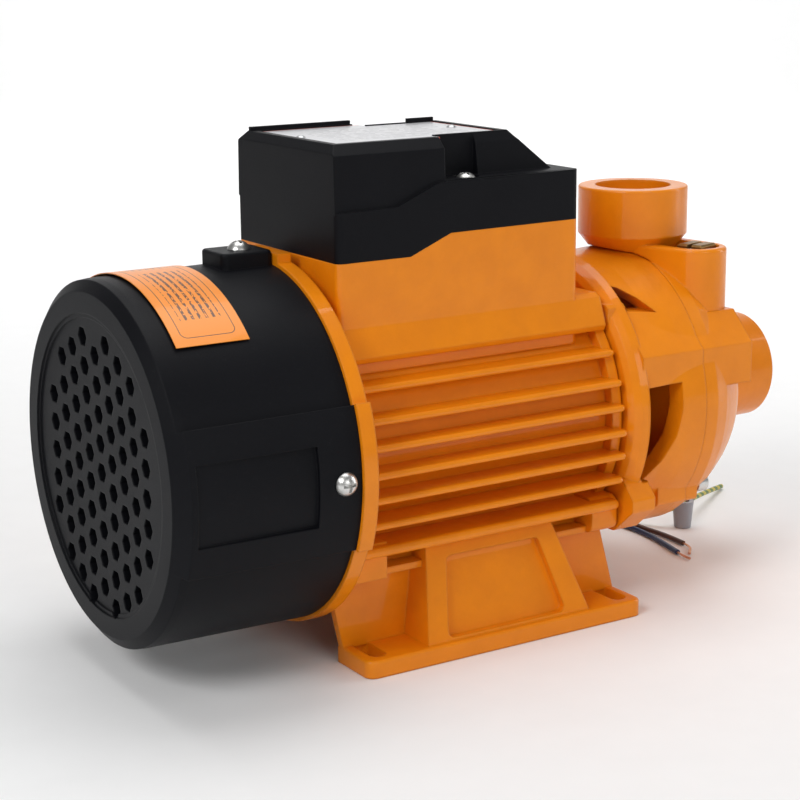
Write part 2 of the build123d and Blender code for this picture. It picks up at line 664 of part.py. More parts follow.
def bearing_cage(x0):
    ring = tube_x(x0 + 1.4, x0 + BEARING_W - 1.4, BALL_CIRCLE_R - 0.9, BALL_CIRCLE_R + 0.9)
    pocket = rod_z(SHAFT_Z + 8, SHAFT_Z + 14, BALL_R + 0.03, x0 + BEARING_W / 2, 0)
    return ring - ring_of(pocket, BALLS)


def wave_spring():
    return tube_x(-89.4, -88.2, 13.4, 15.8)


# ---------------------------------------------------------------- front bracket
SHOULDER_PAD = [(-57.0, 90.0), (-57.0, 106.6), (-45.0, 118.6), (-36.0, 118.6), (-36.0, 90.0)]
BOLT_R = 2.5
CASING_BOLTS = [(-49.0, 106.0, 103.0), (49.0, 106.0, 103.0), (-42.2, 46.0, 94.0), (42.2, 46.0, 94.0)]
LUG_START = 70.0
LUG_END = 91.0


def lower_ear(x0, x1):
    """Ear around the lower tie rod on the -Y side."""
    points = [(-51.5, 58.0), (-59.5, 49.5), (-59.5, 44.5), (-47.5, 34.2), (-41.0, 34.0), (-37.0, 40.5)]
    ear = prism_x(points, x0, x1)
    return fillet(ear.edges().filter_by(Axis.X), 2.0)


def lower_lug(x0, x1):
    """Bolt lug low on the joint between bracket and casing, on the -Y side."""
    lug = block(x0, x1, -48.4, -36.0, 40.2, 51.0)
    return fillet(lug.edges().filter_by(Axis.X), 2.5)


def front_bracket():
    flange = turned([(X_BARREL_END + 1, 20), (X_BARREL_END + 1, 55.0), (X_BARREL_END + 2.5, 57.5),
                     (X_BARREL_END + 5, 59.4), (X_FLANGE_END - 1, FLANGE_R), (X_FLANGE_END, FLANGE_R - 0.8),
                     (X_FLANGE_END, 20)])
    spigot = tube_x(X_BARREL_END - 3, X_BARREL_END + 1.5, 39.5, BARREL_BORE)
    web_cut = tube_x(X_BARREL_END, 51, 22.0, 39.5)
    skirt = turned([(X_FLANGE_END - 2, 44), (X_FLANGE_END - 2, 58), (66, 58.2), (76, 59.4),
                    (X_JOINT, CASING_R), (X_JOINT, 44)])
    pads = [prism_x(SHOULDER_PAD, X_FLANGE_END - 2, X_JOINT)]
    pads.append(mirror(pads[0], about=Plane.XZ))
    pads += both_sides(lower_lug(LUG_START, X_JOINT))
    ring_cut = rod_x(X_FLANGE_END - 3, 78, 50.0)
    disc = rod_x(77, X_JOINT, 50.5)
    body = (skirt + pads) - ring_cut + disc + flange + spigot - web_cut
    bearing_hub = turned([(X_BARREL_END + 1, 15), (X_BARREL_END + 1, 21), (60, 21), (64, 17.5), (64, 15)])
    seal_hub = turned([(69, 10), (69, 16), (77, 20), (78, 20), (78, 10)])
    body += bearing_hub
    body += seal_hub
    body += both_sides(lower_ear(X_BARREL_END + 1, 59.5))
    upper_lug = block(X_BARREL_END + 1, 59, -41.5, -31.5, 115, 126)
    body += both_sides(upper_lug & rod_x(X_BARREL_END, 60, FLANGE_R - 1))
    for x_points, y0, y1 in BRACKET_WINDOWS:
        body -= both_sides(prism_y(x_points, y0, y1))
    body -= rod_x(40, 60, BEARING_R)
    body += tube_x(60, 64, 12.5, 17.5)
    body -= rod_x(55, 72, 12.5)
    body -= rod_x(66, 90, 13.0)
    body -= rod_x(76, 90, 17.5)
    for y, z in (TIE_LOWER, TIE_UPPER):
        for side in (-1, 1):
            body -= rod_x(40, 60.5, TIE_R, side * y, z)
    for y, z, seat in CASING_BOLTS:
        body -= rod_x(72, 90, BOLT_R, y, z)
    return body


BRACKET_WINDOWS = [
    ([(56.6, 94.0), (73.6, 94.6), (73.4, 84.0), (71.0, 72.0), (66.0, 62.0), (59.0, 54.5), (56.6, 54.5)],
     -70, -38),
    ([(56.6, 131.5), (56.6, 122.8), (71.0, 121.2), (66.0, 126.5), (60.0, 130.6)], -62, -22),
]


def seal_seat():
    return turned([(70.5, 7.2), (70.5, 13.0), (75.0, 13.0), (75.0, 10.6), (76.0, 10.6), (76.0, 7.2)])


def seal_head():
    return turned([(76.15, 7.4), (76.15, 10.2), (77.5, 10.2), (77.5, 13.2), (81.0, 13.2), (81.0, SHAFT_R),
                   (77.5, SHAFT_R), (77.5, 7.4)])


def seal_spring():
    """Coil spring that presses the seal head against its seat."""
    coil = Helix(pitch=2.3, height=5.2, radius=10.4)
    wire = Plane(origin=coil @ 0, z_dir=coil % 0) * Circle(0.7)
    spring = sweep(wire, path=coil)
    return Pos(82.0, 0, SHAFT_Z) * Rot(0, 90, 0) * spring


# ---------------------------------------------------------------- pump casing
def boss_hull(r_neck, r_boss, z0, z1):
    """Obround wall from the outlet neck to the priming boss."""
    neck = Pos(X_OUTLET, 0, 0) * Circle(r_neck)
    boss = Pos(BOSS[0], BOSS[1], 0) * Circle(r_boss)
    outline = make_hull((neck + boss).edges())
    return Pos(0, 0, z0) * extrude(outline, z1 - z0)


PLUG_SEAT_Z = 132.0
HUB_BASE_Z = 147.0
HUB_TAPER = 7.5
NECK_R = 17.0
PLUG_R = 6.5


def pump_casing():
    dome = [(X_JOINT, 0), (X_JOINT, CASING_R), (91, CASING_R), (98, 57.4), (102, 55.0), (106, 52.4),
            (110, 49.8), (113.5, 46.8), (115.4, 43.4), (X_CASING_END, 39), (X_CASING_END, 33), (118, 27.5),
            (121, 24.5), (125, PORT_R), (X_SUCTION - 1, PORT_R), (X_SUCTION, PORT_R - 1), (X_SUCTION, 0)]
    drum = turned(dome)
    pads = [prism_x(SHOULDER_PAD, X_JOINT, 111.0)]
    pads.append(mirror(pads[0], about=Plane.XZ))
    drum += pads
    drum += both_sides(lower_lug(X_JOINT, LUG_END))
    hub = rod_z(HUB_BASE_Z, OUTLET_TOP_Z, PORT_R, X_OUTLET, 0)
    hub = fillet(hub.edges().group_by(Axis.Z)[-1], 0.9)
    hub += Pos(X_OUTLET, 0, HUB_BASE_Z - HUB_TAPER / 2) * Cone(NECK_R, PORT_R, HUB_TAPER)
    neck = rod_z(118, HUB_BASE_Z, NECK_R, X_OUTLET, 0)
    wall = boss_hull(15.5, BOSS_R, 112, BOSS_TOP_Z)
    wall = fillet(wall.edges().group_by(Axis.Z)[-1], 1.4)
    upper = (neck + wall + hub) - rod_x(60, X_JOINT + 3, CASING_R - 5) - rod_x(60, X_JOINT, CASING_R + 0.4)
    casing = drum + upper
    pocket = boss_hull(6.5, BOSS_R - 3.0, PLUG_SEAT_Z, 160) - (neck + hub)
    casing -= pocket
    casing -= rod_z(104, PLUG_SEAT_Z + 1, PLUG_R, *BOSS)
    casing -= rod_x(X_JOINT - 1, 88.2, 46.3)
    casing -= rod_x(X_JOINT - 1, X_IMPELLER[1] + 0.5, 40.5)
    casing -= rod_x(X_SUCTION - PORT_BORE_L, X_SUCTION + 1, PORT_BORE_R)
    casing -= rod_x(118, X_SUCTION - PORT_BORE_L + 1, 13.0)
    casing -= rod_x(X_IMPELLER[1] - 1, 120, 6.0, 0, SHAFT_Z + 6.5)
    casing -= rod_z(OUTLET_TOP_Z - PORT_BORE_L, OUTLET_TOP_Z + 1, PORT_BORE_R, X_OUTLET, 0)
    casing -= rod_z(112, OUTLET_TOP_Z - PORT_BORE_L + 1, 9.0, X_OUTLET, 0)
    casing -= tube_x(X_JOINT - 1, 87.6, 48.8, 51.6)
    for y, z, seat in CASING_BOLTS:
        casing -= rod_x(80, seat + 1, BOLT_R + 0.2, y, z)
        casing -= rod_x(seat, 120, 4.6, y, z)
    return casing


def casing_bolts():
    """Socket-head bolts that hold the casing to the bracket."""
    bolts = []
    for y, z, seat in CASING_BOLTS:
        bolt = rod_x(74, seat, BOLT_R, y, z) + rod_x(seat, seat + 5, 4.25, y, z)
        socket = Pos(seat + 2.5, y, z) * Rot(0, 90, 0) * hex_nut(4.0, 4.0)
        bolts.append(bolt - socket)
    return bolts


def casing_o_ring():
    return Pos(86.35, 0, SHAFT_Z) * Rot(0, 90, 0) * Torus(50.2, 1.2)


def backplate():
    """Wear plate behind the impeller."""
    plate = tube_x(X_JOINT, 88.1, 15.0, 46.1)
    return plate


def priming_plug():
    """Square-headed slotted brass plug."""
    thread = rod_z(PLUG_SEAT_Z - 10, PLUG_SEAT_Z + 1.2, PLUG_R - 0.06, *BOSS)
    collar = rod_z(PLUG_SEAT_Z + 1.5, PLUG_SEAT_Z + 5.0, 8.4, *BOSS)
    thread += rod_z(PLUG_SEAT_Z + 1, PLUG_SEAT_Z + 2, PLUG_R - 0.06, *BOSS)
    head = Pos(BOSS[0], BOSS[1], PLUG_SEAT_Z + 9.0) * Rot(0, 0, 17) * Box(11.6, 11.6, 8.4)
    head = chamfer(head.edges().group_by(Axis.Z)[-1], 0.8)
    slot = Pos(BOSS[0], BOSS[1], PLUG_SEAT_Z + 13.0) * Rot(0, 0, 17) * Box(20, 2.0, 3.6)
    return thread + collar + head - slot


def priming_washer():
    ring = rod_z(PLUG_SEAT_Z + 0.3, PLUG_SEAT_Z + 1.5, 8.4, *BOSS)
    return ring - rod_z(PLUG_SEAT_Z - 1, PLUG_SEAT_Z + 3, PLUG_R, *BOSS)


# ---------------------------------------------------------------- power cord
CORE_R = 1.15
STRAND_R = 0.65
CORD_ROUTE = [(2, 59.0, 146), (2, 86, 146), (2, 110, 128), (3, 119, 86), (8, 121.5, 43),
              (24, 121, 10), (54, 114, 3.5), (84, 96, 3.5), (106, 74, 3.5), (118, 58, 3.5)]
CORE_ROUTES = {
    "core_earth": [(119.0, 58.75, 2.9), (122.0, 54.75, 2.9), (127.5, 48.0, 1.7), (133.2, 38.2, 3.4),
                   (137.6, 30.2, 7.0), (146.9, 25.2, 10.6), (173.2, 43.4, 7.0), (203.8, 62.8, 1.3)],
    "core_brown": [(118.0, 58.0, 5.0), (121.0, 54.0, 5.0), (123.8, 47.0, 3.0), (127.0, 31.5, 1.25),
                   (129.0, 16.0, 1.25), (127.9, 2.2, 1.25)],
    "core_blue": [(117.0, 57.25, 2.9), (120.0, 53.25, 2.9), (122.2, 45.0, 1.6), (123.6, 27.5, 1.25),
                  (121.4, 10.0, 1.25), (117.3, -6.5, 1.25)],
}
STRAND_ROUTES = {
    "brown_strands": [(127.9, 2.2, 1.25), (127.5, -3.0, 1.25), (124.0, -7.0, 0.9), (121.2, -9.8, 0.75)],
    "blue_strands": [(117.3, -6.5, 1.25), (116.2, -11.0, 1.0), (116.9, -15.4, 0.75)],
}
CLIP = (146.9, 25.2)


def tube_along(name, route, radius, bend=0.45):
    """Round tube along straight runs joined by tangent arcs; prints its length and radii."""
    points = [Vector(*p) for p in route]
    radii = []
    for a, b, c in zip(points, points[1:], points[2:]):
        turn = math.radians((b - a).get_angle(c - b))
        radii.append(bend * min((b - a).length, (c - b).length) / math.tan(turn / 2))
    path = FilletPolyline(*points, radius=radii)
    section = Plane(origin=points[0], z_dir=points[1] - points[0]) * Circle(radius)
    tube = sweep(section, path=path)
    ratio = tube.volume / (math.pi * radius ** 2 * path.length)
    print(name, "length", round(path.length, 1), "fill", round(ratio, 4), "radii", [round(r) for r in radii])
    return tube


def core_sleeve():
    """Tapered grey marker that stands on the surface and carries the earth core in its notch."""
    cup = extrude(Pos(CLIP[0], CLIP[1], 0) * Circle(3.9), 12.6, taper=-5)
    cup -= Pos(CLIP[0], CLIP[1], 3) * Cylinder(3.0, 9.0 * 2, align=(Align.CENTER, Align.CENTER, Align.MIN))
    return cup - tube_along("marker_notch", CORE_ROUTES["core_earth"], CORE_R + 0.35)


def sleeve_ring():
    """Red lining ring in the mouth of the marker, under the core."""
    ring = rod_z(4.0, 7.0, 2.98, *CLIP)
    return ring - rod_z(3, 8, 2.2, *CLIP)


# ---------------------------------------------------------------- write every node
def build():
    node("motor_housing", motor_housing())
    node("rear_end_shield", rear_end_shield())
    node("stator_core", stator_core())
    node("stator_windings", stator_windings())
    node("front_bracket", front_bracket())
    node("pump_casing", pump_casing())
    node("casing_bolts", casing_bolts())
    node("casing_o_ring", casing_o_ring())
    node("wear_plate", backplate())
    node("seal_seat", seal_seat())
    node("tie_rods", tie_rods())
    node("tie_rod_nuts", tie_rod_nuts())
    node("fan_cover", fan_cover())
    node("fan_cover_screws", fan_cover_screws())
    node("fan_cover_label", fan_cover_label())
    node("terminal_cover", terminal_cover())
    node("terminal_cover_screws", terminal_cover_screws())
    node("nameplate", nameplate())
    node("nameplate_rivets", nameplate_rivets())
    node("capacitor", capacitor())
    node("terminal_block", terminal_block())
    node("terminal_block_screws", terminal_block_screws())
    node("earth_screw", earth_screw())
    node("cable_gland", cable_gland())
    node("gland_nut", gland_nut())
    node("shaft", shaft())
    node("rotor_core", rotor_core())
    node("rotor_cage", rotor_cage())
    node("cooling_fan", cooling_fan())
    node("fan_circlip", fan_circlip())
    node("impeller", impeller())
    node("impeller_key", impeller_key())
    node("shaft_slinger", shaft_slinger())
    node("seal_head", seal_head())
    node("seal_spring", seal_spring())
    for end, x0 in (("rear", X_REAR_BEARING), ("front", X_FRONT_BEARING)):
        node(end + "_bearing_outer", bearing_outer(x0))
        node(end + "_bearing_inner", bearing_inner(x0))
        node(end + "_bearing_balls", bearing_balls(x0))
        node(end + "_bearing_cage", bearing_cage(x0))
    node("wave_spring", wave_spring())
    node("priming_plug", priming_plug())
    node("priming_washer", priming_washer())
    node("power_cord", tube_along("power_cord", CORD_ROUTE, CORD_R))
    for name, route in CORE_ROUTES.items():
        node(name, tube_along(name, route, CORE_R))
    for name, route in STRAND_ROUTES.items():
        node(name, tube_along(name, route, STRAND_R))
    node("core_sleeve", core_sleeve())
    node("sleeve_ring", sleeve_ring())
    for name, shape in NODES.items():
        export_step(shape, "parts/" + name + ".step")
        box = shape.bounding_box()
        print(name, len(shape.solids()), round(shape.volume), tuple(round(v, 1) for v in box.min),
              tuple(round(v, 1) for v in box.max))


build()
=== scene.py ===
# %% [markdown]
# # A small electric water pump
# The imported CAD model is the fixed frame. It already has every casting, screw and bearing at its real
# size, so this notebook adds what CAD leaves plain: enamel, moulded plastic, plated steel, print, and
# the loose supply cord.

# %% Load the frame
import json
import math

import bpy
from mathutils import Euler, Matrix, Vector


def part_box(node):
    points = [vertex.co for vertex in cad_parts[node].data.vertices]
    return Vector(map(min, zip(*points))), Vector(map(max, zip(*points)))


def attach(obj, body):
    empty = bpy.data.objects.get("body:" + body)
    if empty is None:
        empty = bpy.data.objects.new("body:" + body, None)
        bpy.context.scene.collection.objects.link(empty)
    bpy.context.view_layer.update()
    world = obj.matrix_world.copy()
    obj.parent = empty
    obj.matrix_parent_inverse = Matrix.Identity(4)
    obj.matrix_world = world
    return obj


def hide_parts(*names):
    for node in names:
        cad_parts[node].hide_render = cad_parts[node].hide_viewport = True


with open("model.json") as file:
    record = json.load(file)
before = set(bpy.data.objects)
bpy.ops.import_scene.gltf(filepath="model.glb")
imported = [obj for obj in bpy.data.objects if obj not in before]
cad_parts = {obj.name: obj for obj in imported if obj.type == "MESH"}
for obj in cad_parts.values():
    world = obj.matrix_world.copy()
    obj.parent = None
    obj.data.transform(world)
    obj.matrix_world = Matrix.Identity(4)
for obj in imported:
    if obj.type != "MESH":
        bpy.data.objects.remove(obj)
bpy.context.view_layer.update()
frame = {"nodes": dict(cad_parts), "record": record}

# %% [markdown]
# ## Camera
# The pump is seen from its fan end and a little above. A long lens keeps the flange and the feet nearly
# parallel. The camera looks along its own minus Z, so the direction to the target is turned into an
# angle first, and the view's small roll is then turned about that direction.

# %% Camera
SHAFT_HEIGHT = 0.082
camera_place = Vector((-0.4195, -0.6326, 0.2689))
camera_target = Vector((-0.0241, 0.0, 0.0891))
camera_roll = math.radians(-0.55)

camera = bpy.data.objects.new("camera", bpy.data.cameras.new("camera"))
bpy.context.scene.collection.objects.link(camera)
camera.location = camera_place
aim = (camera_target - camera_place).to_track_quat("-Z", "Y")
camera.rotation_mode = "QUATERNION"
camera.rotation_quaternion = aim @ Euler((0, 0, camera_roll)).to_quaternion()
camera.data.sensor_width = 36.0
camera.data.lens = 86.2
camera.data.clip_end = 20.0
bpy.context.scene.camera = camera
print("camera", tuple(round(c, 4) for c in camera.location))

# %% [markdown]
# ## Shader expressions
# A node graph is easier to read as a formula. `Wire` wraps one socket, so that `0.3 + mask * 0.1` adds its
# own Math nodes. Every other node comes from `Wire.node`, which sets the node's settings first and then
# fills its sockets with numbers, colours or other wires.


# %% Shader helper
class Wire:
    """One socket of a node tree, with arithmetic that adds Math nodes."""

    def __init__(self, tree, socket=None):
        self.tree = tree
        self.socket = socket

    def node(self, kind, settings=None, inputs=None, out=0):
        made = self.tree.nodes.new(kind)
        for name, value in (settings or {}).items():
            if name == "stops":
                ramp = made.color_ramp
                while len(ramp.elements) < len(value):
                    ramp.elements.new(1.0)
                for element, (place, colour) in zip(ramp.elements, value):
                    element.position = place
                    element.color = colour
            else:
                setattr(made, name, value)
        for key, value in (inputs or {}).items():
            if isinstance(value, Wire):
                self.tree.links.new(value.socket, made.inputs[key])
            else:
                made.inputs[key].default_value = value
        return Wire(self.tree, made.outputs[out])

    def math(self, operation, *values):
        return self.node("ShaderNodeMath", {"operation": operation}, dict(enumerate(values)))

    def __add__(self, other):
        return self.math("ADD", self, other)

    __radd__ = __add__

    def __sub__(self, other):
        return self.math("SUBTRACT", self, other)

    def __mul__(self, other):
        return self.math("MULTIPLY", self, other)

    def __gt__(self, other):
        return self.math("GREATER_THAN", self, other)

    def __lt__(self, other):
        return self.math("LESS_THAN", self, other)

    def __mod__(self, other):
        return self.math("FLOORED_MODULO", self, other)

    def __abs__(self):
        return self.math("ABSOLUTE", self)


print("Wire is ready")

# %% [markdown]
# ## Building blocks for finishes
# All finishes read the object coordinates, which are metres in the shared frame, so a noise scale of 1000
# means features of about a millimetre on every piece. A Bevel node rounds the look of each CAD edge,
# because castings and mouldings never have sharp ones.


# %% Finish helpers
def place_of(start):
    return start.node("ShaderNodeTexCoord", out="Object")


def noise(start, scale, detail=3.0, roughness=0.55, where=None):
    where = where or place_of(start)
    sockets = {"Vector": where, "Scale": scale, "Detail": detail, "Roughness": roughness}
    return start.node("ShaderNodeTexNoise", {}, sockets)


def blend_of(start, mask, low, high):
    """Colour that goes from low to high as the mask goes from 0 to 1."""
    return start.node("ShaderNodeMix", {"data_type": "RGBA"}, {0: mask, 6: low, 7: high}, out=2)


def ramp_of(start, mask, stops):
    grey = [(at, (v, v, v, 1.0)) for at, v in stops]
    return start.node("ShaderNodeValToRGB", {"stops": grey}, {"Fac": mask})


def rounded(start, radius):
    return start.node("ShaderNodeBevel", {"samples": 6}, {"Radius": radius})


def raised(start, height, distance, strength=1.0, normal=None):
    sockets = {"Strength": strength, "Distance": distance, "Height": height}
    if normal:
        sockets["Normal"] = normal
    return start.node("ShaderNodeBump", {}, sockets)


def finish_of(name, paint):
    """A material whose shader takes what paint(start) returns, socket by socket."""
    made = bpy.data.materials.new(name)
    made.use_nodes = True
    tree = made.node_tree
    shader = tree.nodes["Principled BSDF"]
    for socket, value in paint(Wire(tree)).items():
        if isinstance(value, Wire):
            tree.links.new(value.socket, shader.inputs[socket])
        else:
            shader.inputs[socket].default_value = value
    return made


print("finish helpers are ready")

# %% [markdown]
# ## Enamel on cast iron
# The castings have a thick gloss enamel. Three layers of bump make it: sand grains of the mould, softened
# by the paint, a slow orange peel in the paint itself, and a slight waviness of the casting. A clear coat
# gives the sharp highlight, and the colour deepens a little where the paint is thick.

# %% Enamel
ORANGE = (0.84, 0.250, 0.0030, 1.0)
ORANGE_DEEP = (0.60, 0.150, 0.003, 1.0)


def enamel(start):
    grains = noise(start, 1100.0, 2.0)
    peel = noise(start, 260.0, 1.5)
    waves = noise(start, 38.0, 2.0)
    pools = ramp_of(start, noise(start, 75.0, 4.0), [(0.35, 0.0), (0.72, 1.0)])
    height = grains * 0.10 + peel * 0.42 + waves * 1.3
    return {
        "Base Color": blend_of(start, pools * 0.28 + grains * 0.12, ORANGE, ORANGE_DEEP),
        "Roughness": 0.30 + peel * 0.14 + pools * 0.06,
        "Coat Weight": 0.40,
        "Coat Roughness": 0.06,
        "Specular IOR Level": 0.16,
        "Normal": raised(start, height, 0.00042, 0.8, rounded(start, 0.0013)),
    }


orange_enamel = finish_of("orange_enamel", enamel)
print("made", orange_enamel.name)

# %% [markdown]
# ## Moulded black plastic
# The fan cover and the terminal cover are moulded polypropylene: nearly black, with a fine spark-eroded
# grain that breaks the highlight into a soft sheen, faint flow marks, and a little dust.


# %% Black plastic
def black_moulding(start):
    grain = noise(start, 2600.0, 2.0)
    flow = noise(start, 30.0, 3.0)
    dust = ramp_of(start, noise(start, 420.0, 5.0, 0.7), [(0.60, 0.0), (0.80, 1.0)])
    tint = blend_of(start, flow * 0.6, (0.0030, 0.0032, 0.0046, 1.0), (0.0060, 0.0063, 0.0086, 1.0))
    return {
        "Base Color": blend_of(start, dust * 0.08, tint, (0.06, 0.06, 0.06, 1.0)),
        "Roughness": 0.37 + grain * 0.14 + flow * 0.06,
        "Specular IOR Level": 0.12,
        "Normal": raised(start, grain * 0.6 + flow * 1.2, 0.00012, 0.7, rounded(start, 0.0008)),
    }


black_plastic = finish_of("black_moulding", black_moulding)
print("made", black_plastic.name)

# %% [markdown]
# ## Metals
# Zinc plate, ground steel, brass, copper and cast aluminium share one recipe. A metal shader needs little
# more than its colour, a roughness that varies with stains, and a bump that shows how it was made.
# Stretching the noise along the shaft gives ground and turned parts their fine lines.


# %% Metals
def metal(colour, stain, rough, grain_scale, stretch=(1.0, 1.0, 1.0), depth=0.00006):
    """The paint function of a metal, for finish_of."""

    def paint(start):
        turned_place = start.node("ShaderNodeMapping", {}, {"Vector": place_of(start), "Scale": stretch})
        lines = noise(start, grain_scale, 3.0, 0.6, turned_place)
        spots = ramp_of(start, noise(start, 210.0, 4.0, 0.65), [(0.42, 0.0), (0.70, 1.0)])
        return {
            "Base Color": blend_of(start, spots * 0.5 + lines * 0.15, colour, stain),
            "Metallic": 1.0,
            "Roughness": rough + lines * 0.14 + spots * 0.10,
            "Normal": raised(start, lines, depth, 0.7, rounded(start, 0.0003)),
        }

    return paint


zinc = finish_of("zinc_plate", metal((0.72, 0.72, 0.71, 1), (0.46, 0.44, 0.40, 1), 0.24, 900.0))
steel = finish_of("ground_steel",
                  metal((0.56, 0.57, 0.58, 1), (0.34, 0.33, 0.32, 1), 0.22, 700.0, (0.1, 3, 3)))
stampings = finish_of("stamped_laminations",
                      metal((0.30, 0.31, 0.33, 1), (0.16, 0.15, 0.14, 1), 0.42, 500.0, (4, 0.2, 0.2), 0.0002))
cast_aluminium = finish_of("cast_aluminium", metal((0.74, 0.75, 0.76, 1), (0.5, 0.5, 0.5, 1), 0.38, 600.0))
turned_brass = finish_of("turned_brass", metal((0.78, 0.55, 0.24, 1), (0.42, 0.26, 0.10, 1), 0.26, 800.0))
aged_brass = finish_of("aged_brass", metal((0.34, 0.20, 0.07, 1), (0.05, 0.03, 0.015, 1), 0.30, 500.0))
winding_copper = finish_of("winding_copper",
                           metal((0.60, 0.22, 0.09, 1), (0.36, 0.12, 0.05, 1), 0.30, 900.0,
                                 (0.2, 2, 2), 0.0002))
bright_copper = finish_of("bright_copper", metal((0.90, 0.46, 0.28, 1), (0.62, 0.27, 0.14, 1), 0.22, 1500.0))
print("made", [m.name for m in (zinc, steel, stampings, cast_aluminium, turned_brass, aged_brass)])
print("made", winding_copper.name, bright_copper.name)

# %% [markdown]
# ## Rubber, ceramic and small mouldings
# These share one recipe too: two close colours in soft clouds, and a fine grain. Only the colours and the
# roughness differ.


# %% Small finishes
def moulded(colour, shade, rough):
    """The paint function of a plain plastic, rubber or ceramic, for finish_of."""

    def paint(start):
        grain = noise(start, 1800.0, 2.0)
        clouds = noise(start, 120.0, 3.0)
        return {
            "Base Color": blend_of(start, clouds, colour, shade),
            "Roughness": rough + grain * 0.12,
            "Normal": raised(start, grain, 0.00005, 0.6, rounded(start, 0.0003)),
        }

    return paint


rubber = finish_of("matt_rubber", moulded((0.020, 0.020, 0.020, 1), (0.034, 0.034, 0.034, 1), 0.62))
ceramic = finish_of("polished_ceramic", moulded((0.80, 0.79, 0.74, 1), (0.72, 0.70, 0.64, 1), 0.12))
white_moulding = finish_of("white_moulding", moulded((0.76, 0.75, 0.70, 1), (0.66, 0.65, 0.60, 1), 0.40))
grey_moulding = finish_of("grey_moulding", moulded((0.36, 0.36, 0.39, 1), (0.27, 0.27, 0.30, 1), 0.38))
red_moulding = finish_of("red_moulding", moulded((0.42, 0.02, 0.02, 1), (0.30, 0.012, 0.012, 1), 0.35))
brown_pvc = finish_of("brown_pvc", moulded((0.105, 0.036, 0.016, 1), (0.07, 0.022, 0.010, 1), 0.30))
blue_pvc = finish_of("blue_pvc", moulded((0.020, 0.030, 0.110, 1), (0.012, 0.018, 0.070, 1), 0.30))
cord_rubber = finish_of("cord_rubber", moulded((0.014, 0.014, 0.015, 1), (0.024, 0.024, 0.026, 1), 0.48))
print("made", rubber.name, ceramic.name, white_moulding.name, grey_moulding.name)

# %% [markdown]
# ## Earth core
# The earth core is green with a yellow stripe that winds along it. The angle round the core isn't known to
# the shader, but a slanted wave in object coordinates gives the same alternating patches on a thin wire.


# %% Green and yellow
def earth_stripe(start):
    bands = start.node("ShaderNodeTexWave", {"bands_direction": "DIAGONAL"},
                       {"Vector": place_of(start), "Scale": 62.0, "Distortion": 0.6})
    yellow = ramp_of(start, bands, [(0.46, 0.0), (0.54, 1.0)])
    grain = noise(start, 1800.0, 2.0)
    return {
        "Base Color": blend_of(start, yellow, (0.075, 0.150, 0.018, 1), (0.52, 0.42, 0.035, 1)),
        "Roughness": 0.30 + grain * 0.12,
        "Normal": raised(start, grain, 0.00004, 0.5),
    }


earth_pvc = finish_of("earth_pvc", earth_stripe)
print("made", earth_pvc.name)

# %% [markdown]
# ## Round label on the fan cover
# The label is an orange film bent over the cover. Its print is drawn in the label's own directions:
# along the shaft, and round it, as an arc length from the top. Broken bars stand for the lines of print,
# so nothing can be read, and a thin line with round corners frames them.

# %% Label print
label_low, label_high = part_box("fan_cover_label")
LABEL_RADIUS = 0.0705
LINE_PITCH = 0.0027
LINE_SHARE = 0.40
LABEL_ARC = 0.0529
PRINT_START = 0.004
PRINT_END = 0.041
MARGIN = 0.0062
FRAME_RADIUS = 0.0026
FRAME_HALF_LINE = 0.00016


def label_print(start):
    split = start.node("ShaderNodeSeparateXYZ", {}, {0: place_of(start)}, out="X").socket.node
    across = Wire(start.tree, split.outputs["Y"])
    up = Wire(start.tree, split.outputs["Z"]) - SHAFT_HEIGHT
    along = Wire(start.tree, split.outputs["X"]) - label_low.x
    around = abs(start.math("ARCTAN2", across, up) * LABEL_RADIUS)
    width = label_high.x - label_low.x
    stretched = start.node("ShaderNodeMapping", {}, {"Vector": place_of(start), "Scale": (2.2, 0.8, 0.8)})
    words = noise(start, 900.0, 1.0, 0.4, stretched) > 0.43
    rows = ((along % LINE_PITCH) < LINE_PITCH * LINE_SHARE) * words
    inside = (along > MARGIN) * (along < width - MARGIN) * (around < PRINT_END) * (around > PRINT_START)
    x_gap = start.math("MAXIMUM", abs(along - width / 2) - (width / 2 - MARGIN), 0.0)
    y_gap = start.math("MAXIMUM", around - (LABEL_ARC - MARGIN), 0.0)
    from_frame = start.math("SQRT", x_gap * x_gap + y_gap * y_gap)
    frame_line = abs(from_frame - FRAME_RADIUS) < FRAME_HALF_LINE
    ink = start.math("MAXIMUM", rows * inside, frame_line) * 0.88
    grain = noise(start, 1500.0, 3.0)
    film = blend_of(start, grain * 0.35, (0.92, 0.285, 0.012, 1), (0.80, 0.215, 0.008, 1))
    return {
        "Base Color": blend_of(start, ink, film, (0.030, 0.014, 0.010, 1)),
        "Roughness": 0.34 + grain * 0.10,
        "Coat Weight": 0.2,
        "Normal": raised(start, grain, 0.00003, 0.5),
    }


label_film = finish_of("label_film", label_print)
print("label", round(label_high.x - label_low.x, 4), "m wide")

# %% [markdown]
# ## Nameplate
# A satin foil plate with a thin red band along its edge. Faint broken bars stand for its table, so it
# has no lettering either.

# %% Nameplate print
plate_low, plate_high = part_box("nameplate")
PLATE_BAND = 0.0008
PLATE_MARGIN = 0.009
PLATE_PITCH = 0.0042
PLATE_BAR = 0.0019


